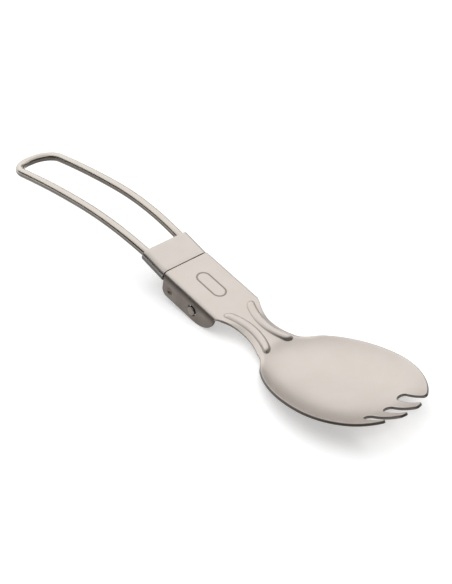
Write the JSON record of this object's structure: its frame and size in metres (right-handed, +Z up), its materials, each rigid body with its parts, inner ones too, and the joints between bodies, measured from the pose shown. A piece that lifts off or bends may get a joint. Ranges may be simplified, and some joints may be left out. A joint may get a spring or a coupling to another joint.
{
  "type": "folding spork",
  "caption": "Folding spork: a tined bowl on a bent sheet bracket, an arched wire handle that swings under it, and a sleeve that slides on the wire to lock it open.",
  "frame": {"origin": "middle of the open spork's length and width, on the table that the bowl and the bracket's flanges rest on", "axes": "+X from the handle towards the tines, +Z up; the left and right halves mirror across y = 0"},
  "size_m": [0.1696, 0.0372, 0.0153],
  "materials": {
    "blade": "fine matt titanium",
    "wire_handle": "satin titanium wire",
    "lock_sleeve": "satin titanium"
  },
  "bodies": {
    "blade": {"blade": "blade"},
    "handle": {"wire_handle": "wire_handle"},
    "sleeve": {"lock_sleeve": "lock_sleeve"}
  },
  "joints": [
    {"name": "fold", "type": "hinge", "parent": "blade", "child": "handle", "pos_m": [0.00735, 0, 0.0037], "axis": [0, -1, 0], "range_deg": [0, 187]},
    {"name": "sleeve_slide", "type": "hinge", "parent": "handle", "child": "sleeve", "pos_m": [-0.04005, 0, -0.09206], "axis": [0, -1, 0], "range_deg": [0, 3.24]}
  ]
}
